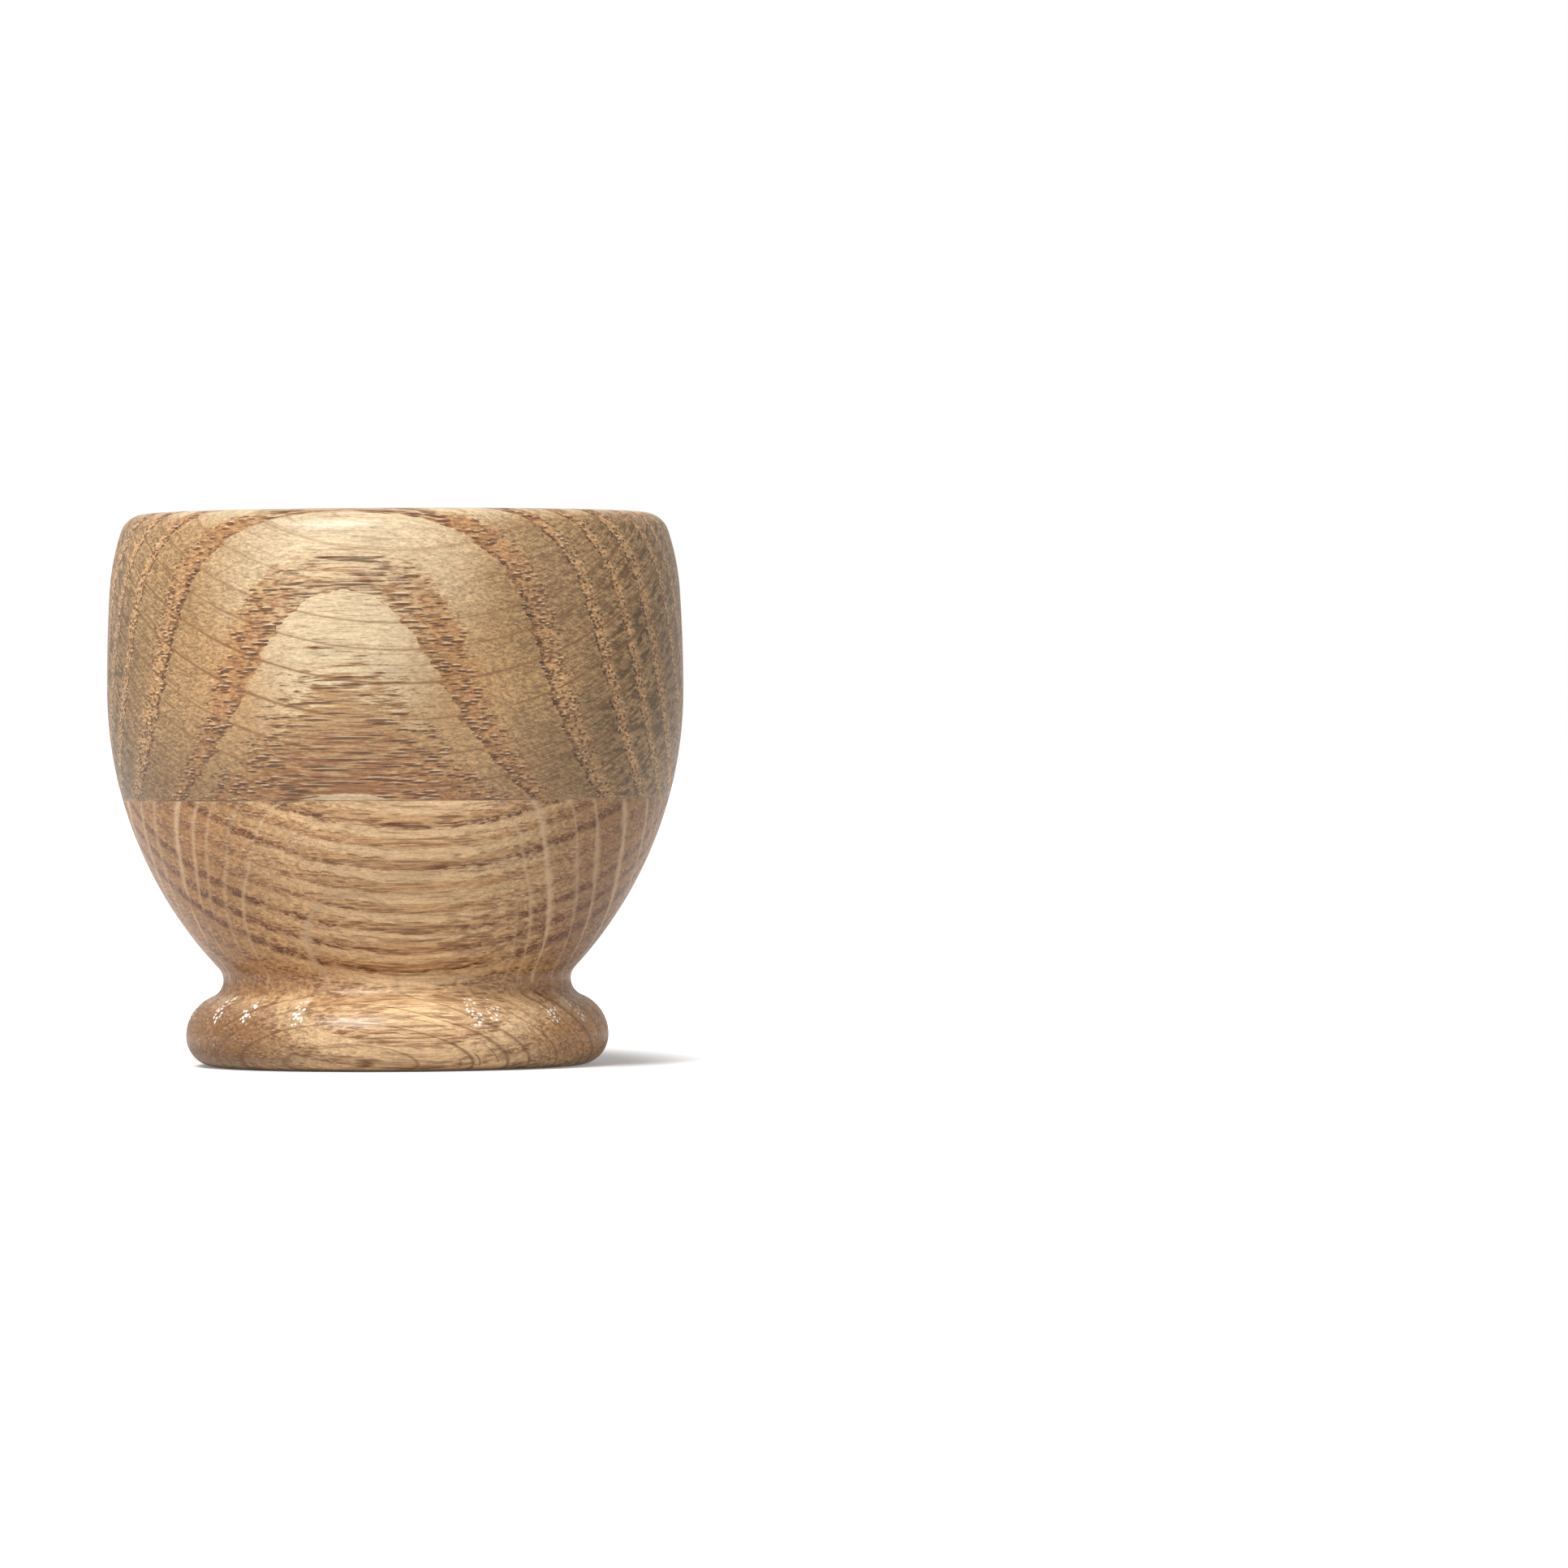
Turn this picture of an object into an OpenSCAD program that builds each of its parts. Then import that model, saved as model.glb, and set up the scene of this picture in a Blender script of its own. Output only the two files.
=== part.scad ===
// Turned oak egg cup. Two oak blocks are glued face to face, then turned and hollowed as one.
// The origin is the centre of the flat base, on the table, and +Z points up through the mouth.

/* [Outside] */
// Height from the table to the top of the lip
height = 50; // [46:0.5:56]
// Diameter of the belly at its widest
belly_d = 52.2; // [50:0.2:58]
// Height of the belly's widest ring above the table
belly_z = 34.1; // [31:0.1:37]
// Radius of the slow curve that the wall follows above the belly
wall_curve_r = 145; // [90:1:240]
// Depth below the lip at which the wall turns in to the shoulder
shoulder_drop = 7.1; // [5.5:0.1:8]
// Radius of the shoulder's curve
shoulder_curve_r = 22; // [18:0.5:30]

/* [Neck and foot] */
// Diameter of the neck at its narrowest
neck_d = 31.5; // [28:0.1:33]
// Height of the narrowest ring of the neck above the table
neck_z = 7.8; // [7:0.1:8.6]
// Radius of the hollow between the bowl and the foot
cove_r = 1.6; // [1.2:0.05:2]
// Diameter of the bead foot at its widest
foot_d = 38.3; // [37:0.1:42]
// Height of the foot's widest ring, which is also the radius of its lower edge
foot_z = 2.75; // [2.2:0.05:3.2]

/* [Lip and bowl] */
// Radius of the lip's outer edge
lip_outer_r = 2.4; // [1.8:0.1:3]
// Radius of the lip's inner edge
lip_inner_r = 1.1; // [0.5:0.1:2]
// Width of the flat ring between the two edges
lip_flat = 0.4; // [0.2:0.1:3]
// Depth of the bowl below the top of the lip
bowl_depth = 29; // [24:0.5:34]
// Difference between the radius of the mouth and that of the bowl's round end
bowl_draw = 3; // [1.5:0.1:5]

/* [Glue joint] */
// Height of the joint between the two blocks above the floor of the bowl
joint_rise = 3.2; // [1.5:0.1:6]
// Thickness of the set glue between the blocks
glue_t = 0.12; // [0.06:0.01:0.3]

/* [Hidden] */
$fa = 2.5;
$fs = 0.3;

// Overrun of a cut past the face it opens
overrun = 1;

belly_r = belly_d / 2;
neck_r = neck_d / 2;
foot_r = foot_d / 2;

// Angle of the line from the point a to the point b
function turn(a, b) = atan2(b.y - a.y, b.x - a.x);

// Number of straight steps that draw an arc of the radius r through the angle sweep
function steps(r, sweep) = ceil(min(sweep / $fa, PI * r * sweep / 180 / $fs));

// Points along an arc of the centre c and the radius r, from the angle a to the angle b, without its first
function arc(c, r, a, b) =
    let (n = max(steps(r, abs(b - a)), 2))
    [for (i = [1:n]) let (t = a + (b - a) * i / n) c + r * [cos(t), sin(t)]];

// Radius of the arc that stands upright at the point p and runs on smoothly into the cove
function radius_to_cove(p) =
    let (d = cove_c - p)
    (d * d - cove_r * cove_r) / (2 * (cove_r - d.x));

// Foot: a quarter round from the base to the widest ring, then one arc in to the cove
cove_c = [neck_r + cove_r, neck_z];
foot_edge_c = [foot_r - foot_z, foot_z];
foot_top_r = radius_to_cove([foot_r, foot_z]);
foot_top_c = [foot_r - foot_top_r, foot_z];
foot_turn = turn(foot_top_c, cove_c);

// Underside of the bowl: one arc from the cove out to the widest ring of the belly
under_r = radius_to_cove([belly_r, belly_z]);
under_c = [belly_r - under_r, belly_z];
under_turn = turn(under_c, cove_c);

// Wall and shoulder: two arcs above the belly, the second tighter than the first
shoulder_z = height - shoulder_drop;
wall_c = [belly_r - wall_curve_r, belly_z];
wall_turn = asin((shoulder_z - belly_z) / wall_curve_r);
shoulder_c = wall_c + (wall_curve_r - shoulder_curve_r) * [cos(wall_turn), sin(wall_turn)];

// Lip: its outer edge runs on from the shoulder and ends level at the flat ring
lip_z = height - lip_outer_r;
lip_reach = shoulder_curve_r - lip_outer_r;
lip_rise = lip_z - shoulder_c.y;
lip_c = [shoulder_c.x + sqrt(lip_reach * lip_reach - lip_rise * lip_rise), lip_z];
lip_turn = turn(shoulder_c, lip_c);

// Bowl: its side arc hangs upright from the mouth and runs on smoothly into the round end
mouth_c = [lip_c.x - lip_flat, height - lip_inner_r];
mouth_r = mouth_c.x - lip_inner_r;
floor_z = height - bowl_depth;
bowl_end_r = mouth_r - bowl_draw;
bowl_end_c = [0, floor_z + bowl_end_r];
bowl_rise = mouth_c.y - bowl_end_c.y;
bowl_side_r = (mouth_r * mouth_r + bowl_rise * bowl_rise - bowl_end_r * bowl_end_r)
    / (2 * bowl_draw);
bowl_side_c = [mouth_r - bowl_side_r, mouth_c.y];
bowl_turn = turn(bowl_side_c, bowl_end_c);

// Joint: the end of the bowl goes through it into the lower block
joint_z = floor_z + joint_rise;

// Right half of the turned outside, from the centre of the base round to the centre of the top
outside = concat(
    [[0, 0], [foot_edge_c.x, 0]],
    arc(foot_edge_c, foot_z, -90, 0),
    arc(foot_top_c, foot_top_r, 0, foot_turn),
    arc(cove_c, cove_r, 180 + foot_turn, 180 + under_turn),
    arc(under_c, under_r, under_turn, 0),
    arc(wall_c, wall_curve_r, 0, wall_turn),
    arc(shoulder_c, shoulder_curve_r, wall_turn, lip_turn),
    arc(lip_c, lip_outer_r, lip_turn, 90),
    [[0, height]]
);

// Right half of the hollow that is turned out of the top, with a rounded mouth
hollow = concat(
    [[0, height + overrun], [mouth_c.x, height + overrun], [mouth_c.x, height]],
    arc(mouth_c, lip_inner_r, 90, 180),
    arc(bowl_side_c, bowl_side_r, 0, bowl_turn),
    arc(bowl_end_c, bowl_end_r, bowl_turn, -90)
);

// The part of the turned cup that lies between two heights
module turned_between(bottom_z, top_z) {
    rotate_extrude() intersection() {
        difference() {
            polygon(outside);
            polygon(hollow);
        }
        translate([0, bottom_z]) square([belly_r + overrun, top_z - bottom_z]);
    }
}

// Upper oak block: the wall and the lip of the bowl
module upper_block() {
    color("#b58a5f") turned_between(joint_z + glue_t / 2, height + overrun);
}

// The ring of set glue between the blocks, turned flush with them inside and out
module glue_line() {
    color("#4b3322") turned_between(joint_z - glue_t / 2, joint_z + glue_t / 2);
}

// Lower oak block: the floor of the bowl, the neck and the bead foot
module lower_block() {
    color("#c0966a") turned_between(-overrun, joint_z - glue_t / 2);
}

upper_block();
glue_line();
lower_block();
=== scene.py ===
import math

import bmesh
import bpy
from mathutils import Euler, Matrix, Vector


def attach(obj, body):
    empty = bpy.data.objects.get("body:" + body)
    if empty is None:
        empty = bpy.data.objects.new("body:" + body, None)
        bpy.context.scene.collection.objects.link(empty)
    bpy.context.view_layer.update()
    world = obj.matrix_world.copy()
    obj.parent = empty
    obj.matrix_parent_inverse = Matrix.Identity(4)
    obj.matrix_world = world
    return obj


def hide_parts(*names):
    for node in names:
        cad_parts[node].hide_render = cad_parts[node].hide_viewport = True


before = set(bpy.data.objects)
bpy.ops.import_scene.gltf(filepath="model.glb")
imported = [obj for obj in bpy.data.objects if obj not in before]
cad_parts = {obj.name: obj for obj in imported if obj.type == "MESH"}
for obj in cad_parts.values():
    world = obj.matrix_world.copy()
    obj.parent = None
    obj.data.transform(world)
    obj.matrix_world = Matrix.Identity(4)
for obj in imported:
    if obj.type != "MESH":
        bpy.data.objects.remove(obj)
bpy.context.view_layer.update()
print("egg cup: frame loaded")

mm = 0.001

# Sizes of the turned shape in millimetres, as in the model behind the frame
cup = {
    "height": 50,
    "bellyRadius": 26.09,
    "bellyHeight": 34.1,
    "wallCurve": 145,
    "shoulderDrop": 7.1,
    "shoulderCurve": 22,
    "neckRadius": 15.75,
    "neckHeight": 7.8,
    "coveRadius": 1.6,
    "footRadius": 19.15,
    "footHeight": 2.75,
    "lipOuterRadius": 2.4,
    "lipInnerRadius": 1.1,
    "lipFlat": 0.4,
    "bowlDepth": 29,
    "bowlDraw": 3,
    "jointRise": 3.2,
    "glueThickness": 0.12,
    "outlineStep": 0.28,      # longest step along a curve of the outline
    "leastSteps": 6,          # fewest steps in one arc
    "stepsAround": 288,       # steps round the turning axis
}


# Outline of the cup: every stretch is an arc that runs on smoothly into the next

def angleBetween(fromPoint, toPoint):
    return math.atan2(toPoint[1] - fromPoint[1], toPoint[0] - fromPoint[0])


def arcPoints(centre, radius, start, end):
    steps = max(cup["leastSteps"], math.ceil(abs(end - start) * radius / cup["outlineStep"]))
    angles = [start + (end - start) * step / steps for step in range(steps + 1)]
    return [(centre[0] + radius * math.cos(a), centre[1] + radius * math.sin(a)) for a in angles]


def radiusIntoCove(point, cove):
    # radius of the arc that stands upright at the point and runs on into the cove
    across, up = cove[0] - point[0], cove[1] - point[1]
    return (across ** 2 + up ** 2 - cup["coveRadius"] ** 2) / (2 * (cup["coveRadius"] - across))


def lipCentre():
    # the wall and the shoulder are two arcs above the belly; the lip runs on from the shoulder
    rise = cup["height"] - cup["shoulderDrop"] - cup["bellyHeight"]
    wall = (cup["bellyRadius"] - cup["wallCurve"], cup["bellyHeight"])
    wallTurn = math.asin(rise / cup["wallCurve"])
    gap = cup["wallCurve"] - cup["shoulderCurve"]
    shoulder = (wall[0] + gap * math.cos(wallTurn), wall[1] + gap * math.sin(wallTurn))
    lipHeight = cup["height"] - cup["lipOuterRadius"]
    reach = cup["shoulderCurve"] - cup["lipOuterRadius"]
    lip = (shoulder[0] + math.sqrt(reach ** 2 - (lipHeight - shoulder[1]) ** 2), lipHeight)
    return wall, wallTurn, shoulder, lip


def outsideOutline():
    # from the rim of the flat base up to the top of the lip
    cove = (cup["neckRadius"] + cup["coveRadius"], cup["neckHeight"])
    footEdge = (cup["footRadius"] - cup["footHeight"], cup["footHeight"])
    footTopRadius = radiusIntoCove((cup["footRadius"], cup["footHeight"]), cove)
    footTop = (cup["footRadius"] - footTopRadius, cup["footHeight"])
    footTurn = angleBetween(footTop, cove)
    underRadius = radiusIntoCove((cup["bellyRadius"], cup["bellyHeight"]), cove)
    under = (cup["bellyRadius"] - underRadius, cup["bellyHeight"])
    underTurn = angleBetween(under, cove)
    wall, wallTurn, shoulder, lip = lipCentre()
    lipTurn = angleBetween(shoulder, lip)
    stretches = [
        (footEdge, cup["footHeight"], -math.pi / 2, 0),
        (footTop, footTopRadius, 0, footTurn),
        (cove, cup["coveRadius"], math.pi + footTurn, math.pi + underTurn),
        (under, underRadius, underTurn, 0),
        (wall, cup["wallCurve"], 0, wallTurn),
        (shoulder, cup["shoulderCurve"], wallTurn, lipTurn),
        (lip, cup["lipOuterRadius"], lipTurn, math.pi / 2),
    ]
    return joined(stretches)


def hollowOutline():
    # from the mouth down the side of the bowl and round its end to the middle of its floor
    lip = lipCentre()[3]
    mouth = (lip[0] - cup["lipFlat"], cup["height"] - cup["lipInnerRadius"])
    mouthRadius = mouth[0] - cup["lipInnerRadius"]
    endRadius = mouthRadius - cup["bowlDraw"]
    end = (0, cup["height"] - cup["bowlDepth"] + endRadius)
    rise = mouth[1] - end[1]
    sideRadius = (mouthRadius ** 2 + rise ** 2 - endRadius ** 2) / (2 * cup["bowlDraw"])
    side = (mouthRadius - sideRadius, mouth[1])
    turn = angleBetween(side, end)
    return joined([
        (mouth, cup["lipInnerRadius"], math.pi / 2, math.pi),
        (side, sideRadius, 0, turn),
        (end, endRadius, turn, -math.pi / 2),
    ])


def joined(stretches):
    points = []
    for stretch in stretches:
        points += arcPoints(*stretch)[1 if points else 0:]
    return points


def radiusAt(outline, height):
    for low, high in zip(outline, outline[1:]):
        if min(low[1], high[1]) <= height <= max(low[1], high[1]) and low[1] != high[1]:
            share = (height - low[1]) / (high[1] - low[1])
            return low[0] + (high[0] - low[0]) * share
    raise ValueError("the outline doesn't reach this height")


outside = outsideOutline()
hollow = hollowOutline()
jointHeight = cup["height"] - cup["bowlDepth"] + cup["jointRise"]
glueBottom = jointHeight - cup["glueThickness"] / 2
glueTop = jointHeight + cup["glueThickness"] / 2


def blockOutline(low, high):
    # closed outline of the turned cup between two heights
    outer = [point for point in outside if low < point[1] < high]
    inner = [point for point in hollow if low < point[1] < high]
    if low <= 0:
        outer = [(0, 0), outside[0]] + outer
        inner = inner + [(0, hollow[-1][1])]
    else:
        outer = [(radiusAt(outside, low), low)] + outer
        inner = inner + [(radiusAt(hollow, low), low)]
    if high >= cup["height"]:
        outer = outer + [outside[-1], hollow[0]]
    else:
        outer = outer + [(radiusAt(outside, high), high)]
        inner = [(radiusAt(hollow, high), high)] + inner
    return outer + inner + [outer[0]]


# Small helpers for the node trees. Most of them work in the tree of the socket that they are given.

def feed(socket, value):
    if isinstance(value, bpy.types.NodeSocket):
        socket.id_data.links.new(value, socket)
    else:
        socket.default_value = value


nodeLayout = {"inRow": 14, "width": 200, "height": 320}      # only where nodes stand in the editor


def addNode(tree, kind, inputs=None, **settings):
    node = tree.nodes.new(kind)
    for name, value in settings.items():
        setattr(node, name, value)
    for name, value in (inputs or {}).items():
        feed(node.inputs[name], value)
    row, column = divmod(len(tree.nodes), nodeLayout["inRow"])
    node.location = (column * nodeLayout["width"], -row * nodeLayout["height"])
    return node


def calc(operation, *values):
    tree = next(value.id_data for value in values if isinstance(value, bpy.types.NodeSocket))
    return addNode(tree, "ShaderNodeMath", dict(enumerate(values)), operation=operation).outputs[0]


def times(first, *others):
    for other in others:
        first = calc("MULTIPLY", first, other)
    return first


def plus(first, *others):
    for other in others:
        first = calc("ADD", first, other)
    return first


def minus(first, other):
    return calc("SUBTRACT", first, other)


def rest(value):
    # what the value leaves of 1
    return minus(1.0, value)


def centred(value):
    # noise lies round a half, and this brings it round zero
    return minus(value, 0.5)


def calcVector(operation, vector, *others):
    inputs = dict(enumerate((vector, *others)))
    node = addNode(vector.id_data, "ShaderNodeVectorMath", inputs, operation=operation)
    return node.outputs["Value" if operation in ("LENGTH", "DOT_PRODUCT") else "Vector"]


def stretched(vector, scale):
    return calcVector("MULTIPLY", vector, scale)


def separated(vector):
    return addNode(vector.id_data, "ShaderNodeSeparateXYZ", {0: vector}).outputs


def combined(first, second):
    return addNode(first.id_data, "ShaderNodeCombineXYZ", {0: first, 1: second}).outputs[0]


def turnedAboutZ(vector, angle):
    inputs = {"Vector": vector, "Angle": angle}
    return addNode(vector.id_data, "ShaderNodeVectorRotate", inputs, rotation_type="Z_AXIS").outputs[0]


def ease(value, low, high, fromValue=0.0, toValue=1.0):
    # runs smoothly from one value to the other as the input goes from low to high
    inputs = {0: value, 1: low, 2: high, 3: fromValue, 4: toValue}
    return addNode(value.id_data, "ShaderNodeMapRange", inputs, interpolation_type="SMOOTHSTEP").outputs[0]


def fade(value, low, high):
    # 1 up to low, and 0 from high on
    return ease(value, low, high, 1.0, 0.0)


def spanShare(value, low, high):
    # the share of the way from low to high
    inputs = {0: value, 1: low, 2: high, 3: 0.0, 4: 1.0}
    return addNode(value.id_data, "ShaderNodeMapRange", inputs).outputs[0]


def followCurve(value, points):
    # reads the value off a curve of straight stretches, given by points from its left edge to its right
    node = addNode(value.id_data, "ShaderNodeFloatCurve", {"Value": value})
    curve = node.mapping.curves[0]
    curve.points[0].location = points[0]
    curve.points[-1].location = points[-1]
    for x, y in points[1:-1]:
        curve.points.new(x, y)
    for point in curve.points:
        point.handle_type = "VECTOR"
    node.mapping.update()
    return node.outputs[0]


def mixColour(share, first, second):
    inputs = {0: share, 6: first, 7: second}
    return addNode(share.id_data, "ShaderNodeMix", inputs, data_type="RGBA").outputs[2]


def noise(vector, detail=2.0, roughness=0.5, scale=1.0):
    inputs = {"Vector": vector, "Scale": scale, "Detail": detail, "Roughness": roughness}
    return addNode(vector.id_data, "ShaderNodeTexNoise", inputs, noise_dimensions="3D").outputs


def cells(place, dimensions="3D", feature="F1", scale=1.0, randomness=1.0):
    # distance from the middle of a cell, or from the line between two cells
    inputs = {"W" if dimensions == "1D" else "Vector": place, "Scale": scale, "Randomness": randomness}
    node = addNode(place.id_data, "ShaderNodeTexVoronoi", inputs,
                   voronoi_dimensions=dimensions, feature=feature)
    return node.outputs["Distance"]


def newGroup(name, kind, inputs, outputs):
    tree = bpy.data.node_groups.new(name, kind)
    for label, socketKind, value in inputs:
        socket = tree.interface.new_socket(label, in_out="INPUT", socket_type=socketKind)
        if value is not None:
            socket.default_value = value
    for label, socketKind in outputs:
        tree.interface.new_socket(label, in_out="OUTPUT", socket_type=socketKind)
    given = addNode(tree, "NodeGroupInput").outputs
    result = addNode(tree, "NodeGroupOutput").inputs
    return tree, given, result


def useGroup(tree, group, inputs):
    return addNode(tree, "ShaderNodeGroup", inputs, node_tree=group).outputs


def numbers(amounts):
    # group inputs for plain numbers, each with its usual value
    return [(label, "NodeSocketFloat", usual) for label, usual in amounts.items()]


def newMaterial(name):
    material = bpy.data.materials.new(name)
    material.use_nodes = True
    tree = material.node_tree
    tree.nodes.clear()
    place = addNode(tree, "ShaderNodeTexCoord").outputs["Object"]
    return material, tree, place


def showSurface(tree, shader, kind="ShaderNodeOutputMaterial"):
    feed(addNode(tree, kind).inputs["Surface"], shader.outputs[0])


def linear(red, green, blue):
    # a colour as read from a picture, from 0 to 255, in the renderer's own scale
    def one(value):
        share = value / 255
        return share / 12.92 if share <= 0.04045 else ((share + 0.055) / 1.055) ** 2.4
    return (one(red), one(green), one(blue), 1.0)


# The lathe: turns an outline, given as a chain of points, round the upright axis

def makeLathe():
    tree, given, result = newGroup("turnOnLathe", "GeometryNodeTree", [
        ("Outline", "NodeSocketGeometry", None),
        ("Steps Around", "NodeSocketInt", cup["stepsAround"]),
        ("Fibre Direction", "NodeSocketVector", (1.0, 0.0, 0.0)),
        ("Crease Angle", "NodeSocketFloat", 0.6),
        ("Weld Distance", "NodeSocketFloat", 0.000002),
        ("Finish", "NodeSocketMaterial", None),
    ], [("Geometry", "NodeSocketGeometry")])

    def step(kind, geometry, inputs=None, **settings):
        return addNode(tree, kind, {"Geometry": geometry, **(inputs or {})}, **settings).outputs[0]

    pointCount = step("GeometryNodeAttributeDomainSize", given["Outline"], component="MESH")
    columns = plus(given["Steps Around"], 1)
    grid = addNode(tree, "GeometryNodeMeshGrid", {"Vertices X": columns, "Vertices Y": pointCount})
    index = addNode(tree, "GeometryNodeInputIndex").outputs[0]
    row = calc("MODULO", index, pointCount)
    column = calc("FLOOR", calc("DIVIDE", plus(index, 0.5), pointCount))
    turn = times(calc("DIVIDE", column, given["Steps Around"]), 2 * math.pi)
    position = addNode(tree, "GeometryNodeInputPosition").outputs[0]
    onOutline = step("GeometryNodeSampleIndex", given["Outline"], {"Value": position, "Index": row},
                     data_type="FLOAT_VECTOR", domain="POINT")
    placed = step("GeometryNodeSetPosition", grid.outputs[0], {"Position": turnedAboutZ(onOutline, turn)})
    welded = step("GeometryNodeMergeByDistance", placed, {"Distance": given["Weld Distance"]})
    smooth = step("GeometryNodeSetShadeSmooth", welded, domain="FACE")
    angle = addNode(tree, "GeometryNodeInputMeshEdgeAngle").outputs["Unsigned Angle"]
    corner = addNode(tree, "FunctionNodeCompare", {0: angle, 1: given["Crease Angle"]},
                     data_type="FLOAT", operation="GREATER_THAN").outputs[0]
    creased = step("GeometryNodeSetShadeSmooth", smooth, {"Selection": corner, "Shade Smooth": False},
                   domain="EDGE")
    # how squarely the surface cuts the fibres: 0 along them, 1 straight across
    normal = addNode(tree, "GeometryNodeInputNormal").outputs[0]
    cut = calc("ABSOLUTE", calcVector("DOT_PRODUCT", normal, given["Fibre Direction"]))
    marked = step("GeometryNodeStoreNamedAttribute", creased, {"Name": "endGrain", "Value": cut},
                  data_type="FLOAT", domain="POINT")
    real = step("GeometryNodeRealizeInstances", marked)
    feed(result["Geometry"], step("GeometryNodeSetMaterial", real, {"Material": given["Finish"]}))
    return tree


def turnPiece(name, lathe, outline, fibreTurn, finish):
    # one turned piece as a plain mesh, with its faces pointing out
    chain = bpy.data.meshes.new(name + "Outline")
    corners = [(radius * mm, 0, height * mm) for radius, height in outline]
    chain.from_pydata(corners, [(n, n + 1) for n in range(len(corners) - 1)], [])
    blank = bpy.data.objects.new(name + "Blank", chain)
    bpy.context.collection.objects.link(blank)
    spin = blank.modifiers.new("lathe", "NODES")
    spin.node_group = lathe
    wanted = {
        "Steps Around": cup["stepsAround"],
        "Fibre Direction": (math.cos(fibreTurn), -math.sin(fibreTurn), 0.0),
        "Finish": finish,
    }
    for item in lathe.interface.items_tree:
        if item.in_out == "INPUT" and item.name in wanted:
            spin[item.identifier] = wanted[item.name]
    bpy.context.view_layer.update()
    ready = blank.evaluated_get(bpy.context.evaluated_depsgraph_get())
    mesh = bpy.data.meshes.new_from_object(ready)
    mesh.name = name
    piece = bpy.data.objects.new(name, mesh)
    bpy.context.collection.objects.link(piece)
    bpy.data.objects.remove(blank)
    shell = bmesh.new()
    shell.from_mesh(mesh)
    bmesh.ops.recalc_face_normals(shell, faces=shell.faces)
    shell.to_mesh(mesh)
    shell.free()
    print("egg cup:", name, "turned with", len(mesh.polygons), "faces")
    return piece


# Oak. Rings lie round the tree's heart, which runs along the fibres, and rays run out from it.
# Both waver with two noises, each given by its waves to the millimetre along and across the fibres.

waver = {"slow": (0.03, 0.09, 0.09), "quick": (0.3, 0.9, 0.9), "quickShare": 0.4}


def makeGrowth():
    tree, given, result = newGroup("oakGrowth", "ShaderNodeTree", [
        ("Vector", "NodeSocketVector", None),    # millimetres: X along the fibres, Y to the back
        *numbers({"Heart Back": 50.0, "Heart Up": 50.0, "Heart Distance": 50.0}),
        *numbers({"Bend": 0.0, "Bend Height": 37.0, "Tilt": 0.0, "Wave": 0.3}),
        *numbers({"Ray Turn": 0.0, "Ray Lean": 0.0}),
    ], [("Ring Distance", "NodeSocketFloat"), ("Ray Distance", "NodeSocketFloat")])
    slow = noise(stretched(given["Vector"], waver["slow"]))
    quick = noise(stretched(given["Vector"], waver["quick"]))
    shifts = plus(centred(slow[0]), times(centred(quick[0]), waver["quickShare"]))
    parts = separated(given["Vector"])
    back = minus(given["Heart Back"], parts[1])
    up = minus(parts[2], given["Heart Up"])
    fromHeart = minus(calc("SQRT", plus(times(back, back), times(up, up))), given["Heart Distance"])
    high = times(minus(parts[2], given["Bend Height"]), 0.1)      # in centimetres
    bent = plus(fromHeart, times(high, high, high, given["Bend"]))
    tilted = minus(bent, times(parts[1], high, given["Tilt"]))
    feed(result["Ring Distance"], plus(tilted, times(shifts, given["Wave"])))
    # rays are nearly flat sheets: their normal turns about Z and leans up from the front
    turned = separated(turnedAboutZ(given["Vector"], given["Ray Turn"]))
    level = times(turned[1], -1.0, calc("COSINE", given["Ray Lean"]))
    lift = times(turned[2], calc("SINE", given["Ray Lean"]))
    rayWave = times(centred(slow["Color"]), given["Wave"])
    feed(result["Ray Distance"], plus(level, lift, rayWave))
    return tree


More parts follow.
